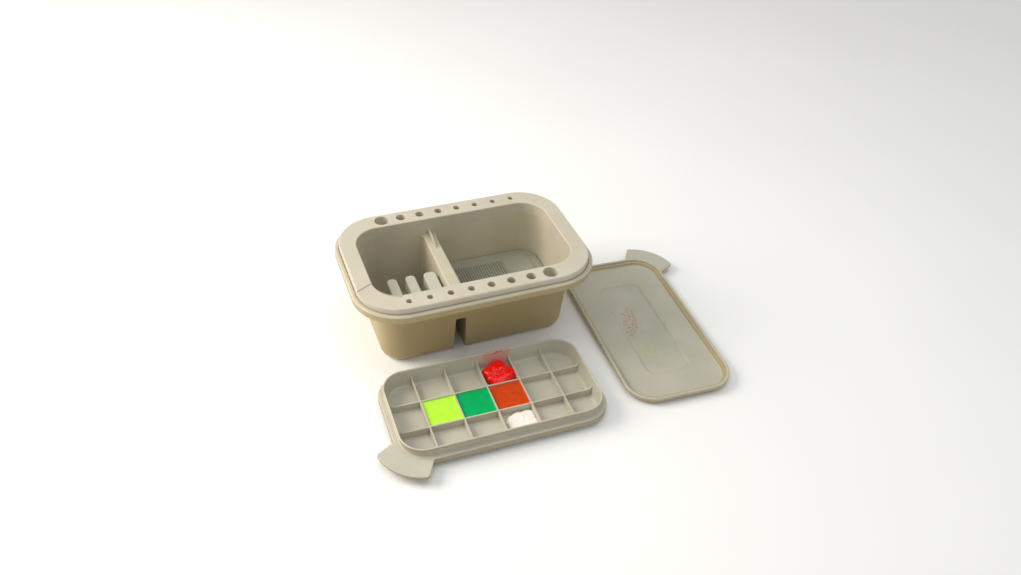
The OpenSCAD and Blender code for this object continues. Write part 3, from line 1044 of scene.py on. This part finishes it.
@dataclass
class Tray:
    """The palette tray with its eighteen wells."""

    length: float = 224.0 * MM
    width: float = 121.0 * MM
    corner: float = 30.0 * MM
    height: float = 22.0 * MM
    wall: float = 2.0 * MM
    rim_inset: float = 5.0 * MM
    rim_z: float = 12.0 * MM
    lift: float = 5.5 * MM
    draft: float = 2.5 * MM
    pitch: float = 36.0 * MM
    columns: int = 6
    divider: float = 8.0 * MM
    divider_thick: float = 1.5 * MM
    gusset: float = 4.5 * MM
    place: Placed = field(default_factory=lambda: Placed.from_opening("tray_top", -1.0))

    def __post_init__(self) -> None:
        """Works out the outlines of the rim and the pan."""
        self.rim = self.rim_outline()
        self.pan = self.rim.inset(self.rim_inset)

    @classmethod
    def rim_outline(cls) -> Outline:
        """Gives the outline of the tray's rim."""
        return Outline.centred(cls.length, cls.width, cls.corner)

    def lean(self, z: float) -> float:
        """Gives how far the pan's walls lean in at a height."""
        return self.draft * (1 - z / self.height)

    def shell(self) -> bmesh.types.BMesh:
        """Makes the pan and its rim in one closed skin, from the underside to the floor."""
        pan, rim, t = self.pan, self.rim, self.wall
        levels = [(pan.inset(self.lean(rise) + inset), rise) for inset, rise in rounded_edge(1.5 * MM, 4)]
        under = self.rim_z - t
        levels += [(pan.inset(self.lean(under)), under), (rim.inset(t), under),
                   (rim.inset(t), self.lift + 0.4 * MM), (rim.inset(t - 0.4 * MM), self.lift),
                   (rim.inset(0.4 * MM), self.lift), (rim, self.lift + 0.4 * MM)]
        ease = 1.4 * MM
        levels += [(rim.inset(inset), self.rim_z - ease + rise)
                   for inset, rise in rounded_edge(ease, 5, opening=False)]
        foot = 0.8 * MM
        levels += [(pan.inset(self.lean(self.rim_z) - foot), self.rim_z),
                   (pan.inset(self.lean(self.rim_z + foot)), self.rim_z + foot)]
        top_round = t / 2
        levels += [(pan.inset(self.lean(self.height) + inset), self.height - top_round + rise)
                   for inset, rise in half_round(top_round)]
        inner_round = 3.0 * MM
        for inset, rise in reversed(rounded_edge(inner_round, 6)):
            z = t + rise
            levels.append((pan.inset(t + self.lean(z) + inset), z))
        return loft(levels, RIM_STEPS)

    def bar(self, reach: float) -> bmesh.types.BMesh:
        """Makes one divider along X, with its ends drawn up into gussets.

        Args:
            reach: How far it goes from the middle to each side.

        Returns:
            A new closed bmesh.
        """
        top = self.wall + self.divider
        half = self.divider_thick / 2
        near = 0.1 * MM
        bm = block(Vector((-reach, -half, self.wall - MM)), Vector((reach, half, top)))
        for x in (-reach + self.gusset, reach - self.gusset):
            bmesh.ops.bisect_plane(bm, geom=bm.verts[:] + bm.edges[:] + bm.faces[:], plane_co=(x, 0, 0),
                                   plane_no=(1, 0, 0))
        for vert in bm.verts:
            if vert.co.z > top - near and abs(vert.co.x) > reach - near:
                vert.co.z += self.gusset
        ridge = [e for e in bm.edges if all(v.co.z > top - near for v in e.verts)
                 and abs(e.verts[0].co.x - e.verts[1].co.x) > MM]
        bmesh.ops.bevel(bm, geom=ridge, offset=0.45 * MM, segments=3, affect="EDGES", profile=0.5,
                        material=-1)
        bmesh.ops.recalc_face_normals(bm, faces=bm.faces)
        return bm

    def bars(self) -> list[bmesh.types.BMesh]:
        """Makes the dividers, long enough to meet the leaning walls."""
        bars = []
        sunk = self.wall + self.lean(self.wall + self.divider + self.gusset) - 0.6 * MM
        for i in range(1, self.columns):
            bm = self.bar(self.pan.y1 - sunk)
            bmesh.ops.rotate(bm, cent=(0, 0, 0), matrix=Matrix.Rotation(math.radians(90), 3, "Z"),
                             verts=bm.verts)
            bmesh.ops.translate(bm, vec=((i - self.columns / 2) * self.pitch, 0, 0), verts=bm.verts)
            bars.append(bm)
        for side in (-1, 1):
            bm = self.bar(self.pan.x1 - sunk)
            bmesh.ops.translate(bm, vec=(0, side * self.pitch / 2, 0), verts=bm.verts)
            bars.append(bm)
        return bars

    def build(self, material: bpy.types.Material) -> bpy.types.Object:
        """Builds the tray with its dividers and its finger tab."""
        tray = new_object("palette_tray", self.shell())
        combine(tray, FingerTab().build(self.rim, self.rim_z), Join.ADD)
        for bar in self.bars():
            combine(tray, bar, Join.ADD)
        soften(tray, 0.35 * MM, 2, 50.0)
        # Painted shade: marks the tray's outer walls for the darker warm outer colour.
        paint_mask(tray, "outside", self.painted_shade_share)
        self.place.put(tray)
        return finish_piece(tray, "tray", material, ["tray", "tray_dividers"])

    def painted_shade_share(self, place: Vector) -> float:
        """Gives the share of painted shade at a place: the outer walls, but not the rim's top."""
        outer = self.pan.inset(MM).reach(place.x, place.y) > 0
        level = abs(place.z - self.rim_z) <= 0.3 * MM or place.z >= self.height - MM
        return 0.8 if outer and not level else 0.0

    def cell(self, column: int, row: int) -> Vector:
        """Gives the middle of a well's floor, where the tray lies.

        Args:
            column: 0 to 5 from the left.
            row: 0 for the front row, 2 for the back one.

        Returns:
            The point on the floor.
        """
        own = Vector(((column - self.columns / 2 + 0.5) * self.pitch, (row - 1) * self.pitch, self.wall))
        return self.place.matrix() @ own


@dataclass
class Lid:
    """The lid, lying upside down."""

    length: float = 230.0 * MM
    width: float = 122.0 * MM
    corner: float = 31.0 * MM
    height: float = 10.0 * MM
    thick: float = 2.2 * MM
    rim: float = 3.0 * MM
    edge: float = 5.0 * MM
    step: float = 2.0 * MM
    panel_length: float = 152.0 * MM
    panel_width: float = 52.0 * MM
    place: Placed = field(default_factory=lambda: Placed.from_opening("lid_inside", -93.0))

    def __post_init__(self) -> None:
        """Works out the lid's outline."""
        self.outline = Outline.centred(self.length, self.width, self.corner)

    def shell(self) -> bmesh.types.BMesh:
        """Makes the lid in one closed skin, from the middle of its panel round the rim and back."""
        rim = self.outline
        panel = Outline.centred(self.panel_length, self.panel_width, 10 * MM)
        floor = self.step + self.thick
        levels = [(panel.inset(3.2 * MM), 0.0), (panel.inset(2.4 * MM), 0.1 * MM),
                  (panel.inset(1.2 * MM), 1.0 * MM), (panel.inset(0.4 * MM), 1.8 * MM),
                  (panel.inset(-0.6 * MM), self.step)]
        levels += [(rim.inset(inset), self.step + rise) for inset, rise in rounded_edge(self.edge, 8)]
        top_round = self.rim / 2
        flat = 0.6
        levels += [(rim.inset(inset), self.height - flat * (top_round - rise))
                   for inset, rise in half_round(top_round)]
        shoulder = self.height - 2.4 * MM
        levels += [(rim.inset(self.rim), shoulder + 0.4 * MM), (rim.inset(self.rim + 0.5 * MM), shoulder),
                   (rim.inset(self.rim + 2.4 * MM), shoulder - 0.2 * MM)]
        foot = 3.0 * MM
        inner = rim.inset(self.rim + foot)
        levels += [(inner.inset(inset), floor + rise) for inset, rise in reversed(rounded_edge(foot, 6))]
        levels += [(panel.inset(-0.3 * MM), floor), (panel.inset(0.4 * MM), floor - 0.3 * MM),
                   (panel.inset(1.8 * MM), self.thick + 0.3 * MM), (panel.inset(2.5 * MM), self.thick)]
        return loft(levels, RIM_STEPS)

    def build(self, material: bpy.types.Material) -> bpy.types.Object:
        """Builds the lid."""
        lid = new_object("palette_lid", self.shell())
        combine(lid, FingerTab().build(self.outline, self.height - 0.2 * MM, mirror=True), Join.ADD)
        soften(lid, 0.35 * MM, 2, 60.0)
        # Painted shade: marks the lid's rim walls for the darker warm outer colour.
        paint_mask(lid, "outside", self.painted_shade_share)
        self.place.put(lid)
        return finish_piece(lid, "lid", material, ["lid"])

    def painted_shade_share(self, place: Vector) -> float:
        """Gives the share of painted shade: 1 on the rim's outer side, most of that on its inner wall, and
        0 elsewhere.
        """
        if self.outline.inset(self.rim / 2).reach(place.x, place.y) > 0:
            return 1.0 if place.z < self.height - MM else 0.0
        by_wall = self.outline.inset(self.rim + 4.0 * MM).reach(place.x, place.y) > 0
        floor = self.step + self.thick
        return 0.8 if by_wall and floor + 0.8 * MM < place.z < self.height - 1.2 * MM else 0.0


# ---------------------------------------------------------------- paint


@dataclass
class Paint:
    """The five paints in the tray's wells."""

    tray: Tray
    depth: float = 6.4 * MM

    def pool(self, name: str, column: int, row: int, finish: WetPaint, seed: float) -> bpy.types.Object:
        """Fills a well with a level pool whose edges cling to the dividers.

        Args:
            name: Name of the piece.
            column: The well's column.
            row: The well's row.
            finish: Its finish.
            seed: Shifts its ripples.

        Returns:
            The finished pool.
        """
        half = (self.tray.pitch - self.tray.divider_thick) / 2 - 0.05 * MM
        bm = bmesh.new()
        bmesh.ops.create_grid(bm, x_segments=28, y_segments=28, size=half)
        for vert in bm.verts:
            near = half - max(abs(vert.co.x), abs(vert.co.y))
            cling = 0.7 * MM * math.exp(-near / (1.1 * MM))
            wave = 0.35 * MM * noise.noise(Vector((vert.co.x * 90, vert.co.y * 90, seed)))
            vert.co.z = self.depth + cling + wave
        return self.settle(name, bm, column, row, finish, 50.0)

    def settle(self, name: str, bm: bmesh.types.BMesh, column: int, row: int, finish: WetPaint,
               angle: float) -> bpy.types.Object:
        """Closes a skin of paint down to the floor of its well, and dresses it.

        Args:
            name: Name of the piece.
            bm: The skin, open below. It is freed.
            column: The well's column.
            row: The well's row.
            finish: The paint's finish.
            angle: Edges sharper than this many degrees stay sharp in the shading.

        Returns:
            The finished piece.
        """
        down = bmesh.ops.extrude_edge_only(bm, edges=[e for e in bm.edges if e.is_boundary])["geom"]
        for vert in (g for g in down if isinstance(g, bmesh.types.BMVert)):
            vert.co.z = 0.02 * MM
        bmesh.ops.holes_fill(bm, edges=[e for e in bm.edges if e.is_boundary])
        bmesh.ops.recalc_face_normals(bm, faces=bm.faces)
        obj = new_object(name, bm)
        spot = self.tray.cell(column, row)
        obj.data.transform(Matrix.Translation(spot) @ Matrix.Rotation(self.tray.place.turn, 4, "Z"))
        return finish_piece(obj, "tray", finish.build(), angle=math.radians(angle))

    def blob(self, name: str, column: int, row: int, lumps: Sequence[tuple[float, float, float, float]],
             finish: WetPaint, seed: float) -> bpy.types.Object:
        """Makes a dollop from overlapping flat-bottomed lumps.

        Args:
            name: Name of the piece.
            column: The well's column.
            row: The well's row.
            lumps: x, y, radius and height of each lump, in millimetres from the well's middle.
            finish: Its finish.
            seed: Shifts its waviness.

        Returns:
            The finished dollop.
        """
        half = (self.tray.pitch - self.tray.divider_thick) / 2 - 0.1 * MM
        bm = bmesh.new()
        bmesh.ops.create_grid(bm, x_segments=70, y_segments=70, size=half)
        for vert in bm.verts:
            x, y = vert.co.x / MM, vert.co.y / MM
            wobble = 1.6 * noise.noise(Vector((x * 0.16, y * 0.16, seed)))
            height = 0.0
            for cx, cy, radius, peak in lumps:
                reach = 1 - (math.hypot(x - cx, y - cy) + wobble) / radius
                if reach > 0:
                    height = max(height, peak * (1 - (1 - min(reach * 1.25, 1)) ** 2.6) ** 0.6)
            swell = 0.35 * noise.noise(Vector((x * 0.35, y * 0.35, seed + 4))) if height > 0 else 0.0
            vert.co.z = (height + swell) * MM
        gone = [v for v in bm.verts if v.co.z <= 0.05 * MM]
        bmesh.ops.delete(bm, geom=gone, context="VERTS")
        for _ in range(3):
            bmesh.ops.smooth_vert(bm, verts=bm.verts, factor=0.5, use_axis_x=True, use_axis_y=True,
                                  use_axis_z=True)
        return self.settle(name, bm, column, row, finish, 70.0)

    def build(self) -> None:
        """Fills the wells."""
        self.pool("paint_lime", 1, 1, WetPaint("lime_paint", (190, 246, 72), (180, 240, 62), 0.5), 1.0)
        self.pool("paint_green", 2, 1, WetPaint("green_paint", (0, 176, 98), (0, 168, 90), 0.5), 2.0)
        self.pool("paint_orange", 3, 1, WetPaint("orange_paint", (214, 74, 18), (202, 66, 14), 0.5), 3.0)
        self.blob("paint_red", 3, 2, [(1, -1, 17, 8.5), (2, 5, 13, 12.5), (-6, 3, 11, 10.5),
                                      (9, -3, 11, 9.5)],
                  WetPaint("red_paint", (255, 20, 2), (246, 10, 2), 0.16, 0.3, 0.4), 5.0)
        self.blob("paint_white", 3, 0, [(-6, 6, 8, 3.4), (2, 8, 9, 3.8), (10, 8, 10, 3.8),
                                        (-1, -3, 12, 3.2), (9, -4, 13, 3.2)],
                  WetPaint("white_paint", (252, 244, 238), (247, 236, 228), 0.4), 7.0)


# ---------------------------------------------------------------- studio


@dataclass(frozen=True)
class Viewpoint:
    """The camera: where it stands and how it is turned."""

    place: tuple[float, float, float]
    azimuth: float
    elevation: float
    roll: float
    lens: float

    def build(self) -> bpy.types.Object:
        """Builds the camera and makes it the scene's own."""
        azimuth, elevation, roll = (math.radians(v) for v in (self.azimuth, self.elevation, self.roll))
        forward = Vector((math.sin(azimuth) * math.cos(elevation), math.cos(azimuth) * math.cos(elevation),
                          -math.sin(elevation)))
        right = forward.cross(Vector((0, 0, 1))).normalized()
        down = forward.cross(right)
        right, down = (math.cos(roll) * right + math.sin(roll) * down,
                       math.cos(roll) * down - math.sin(roll) * right)
        data = bpy.data.cameras.new("camera")
        data.sensor_width = 36.0
        data.lens = self.lens
        data.clip_start = 0.01
        data.clip_end = 50.0
        camera = bpy.data.objects.new("camera", data)
        bpy.context.scene.collection.objects.link(camera)
        camera.matrix_world = Matrix((
            (right.x, -down.x, -forward.x, self.place[0]),
            (right.y, -down.y, -forward.y, self.place[1]),
            (right.z, -down.z, -forward.z, self.place[2]),
            (0, 0, 0, 1)))
        bpy.context.scene.camera = camera
        return camera


@dataclass(frozen=True)
class SoftLight:
    """A square soft light that faces the middle of the table."""

    name: str
    place: tuple[float, float, float]
    size: float
    power: float
    colour: Colour
    target: tuple[float, float, float] = (0.05, -0.06, 0.04)

    def build(self) -> None:
        """Builds the light."""
        data = bpy.data.lights.new(self.name, "AREA")
        data.shape = "SQUARE"
        data.size = self.size
        data.energy = self.power
        data.color = linear(self.colour)[:3]
        lamp = bpy.data.objects.new(self.name, data)
        bpy.context.scene.collection.objects.link(lamp)
        lamp.location = self.place
        aim = Vector(self.target) - Vector(self.place)
        lamp.rotation_euler = aim.to_track_quat("-Z", "Y").to_euler()


@dataclass(frozen=True)
class Studio:
    """A pale floor, a dim white sky and soft lights."""

    sky: float = 0.55
    lights: tuple[SoftLight, ...] = (
        SoftLight("key", (-1.12, 0.44, 0.84), 0.9, 20.5, (255, 247, 236)),
        SoftLight("overhead", (0.10, -0.15, 1.30), 1.0, 4.0, (244, 251, 250)))

    def floor(self) -> None:
        """Builds the floor."""
        bm = bmesh.new()
        bmesh.ops.create_grid(bm, x_segments=1, y_segments=1, size=6.0)
        floor = new_object("studio_floor", bm)
        floor.data.transform(Matrix.Translation((0, 0, -0.1 * MM)))
        floor.data.materials.append(StudioWhite().build())

    def build(self) -> None:
        """Builds the floor, the sky and the lights."""
        self.floor()
        world = bpy.data.worlds.new("studio_sky")
        world.use_nodes = True
        background = world.node_tree.nodes["Background"]
        background.inputs["Color"].default_value = (1.0, 1.0, 1.0, 1.0)
        background.inputs["Strength"].default_value = self.sky
        bpy.context.scene.world = world
        for light in self.lights:
            light.build()


def tray_finish() -> MouldedPlastic:
    """Gives the tray's plastic, with the red paint's traces on the wall behind it."""
    turn = math.radians(-1)
    tint = Stain((7.5 * MM, -91.5 * MM, 18 * MM), turn, (19 * MM, 6 * MM, 12 * MM),
                 (214, 120, 104), 0.42, 90.0, 1.2)
    specks = Stain((7 * MM, -89.5 * MM, 20.5 * MM), turn, (11 * MM, 5 * MM, 4 * MM),
                   (150, 14, 8), 0.95, 700.0, 0.35)
    # The outer colour is painted warm shade for the tray's outer walls.
    return MouldedPlastic("tray_plastic_skin", (198, 194, 177), (190, 186, 169), outer=(152, 140, 104),
                          stains=(tint, specks))


def lid_finish() -> MouldedPlastic:
    """Gives the lid's plastic, with dry red and lime smears on its inner face."""
    red = Stain((178.5 * MM, -74 * MM, 4 * MM), math.radians(70), (42 * MM, 13 * MM, 12 * MM),
                (184, 66, 62), 0.62, 420.0, 0.365)
    lime = Stain((177 * MM, -121 * MM, 4 * MM), math.radians(-40), (27 * MM, 19 * MM, 12 * MM),
                 (192, 204, 116), 0.42, 330.0, 0.36)
    return MouldedPlastic("lid_plastic_skin", (190, 186, 168), (182, 179, 161), stains=(red, lime))


def main() -> None:
    """Builds every piece, the studio and the camera."""
    logging.basicConfig(level=logging.INFO, format="%(name)s: %(message)s")
    bpy.context.scene.view_settings.view_transform = "Standard"
    Viewpoint(place=(-0.2546, -0.7372, 0.6826), azimuth=22.97, elevation=39.34, roll=-3.28,
              lens=31.548).build()
    Studio().build()
    tub_plastic = MouldedPlastic("tub_plastic_skin", (196, 188, 166), (188, 180, 157)).build()
    ring_plastic = MouldedPlastic("ring_plastic_skin", (202, 194, 177), (196, 188, 169)).build()
    insert_plastic = MouldedPlastic("insert_plastic_skin", (196, 192, 176), (188, 184, 167)).build()
    tray_plastic = tray_finish().build()
    lid_plastic = lid_finish().build()
    tub = Tub()
    tub.build_basin(tub_plastic)
    tub.build_ring(ring_plastic)
    inserts = Inserts(tub)
    # Painted shade: the scrub board's plastic is a darker copy of the insert plastic, standing for the
    # shade at the bottom of the large well.
    board_painted_shade = MouldedPlastic("board_painted_shade_skin", (154, 153, 137), (146, 145, 128), roughness=0.3)
    inserts.build_board(board_painted_shade.build())
    inserts.build_rest(insert_plastic)
    tray = Tray()
    tray.build(tray_plastic)
    Lid().build(lid_plastic)
    Paint(tray).build()


if __name__ == "__main__":
    main()
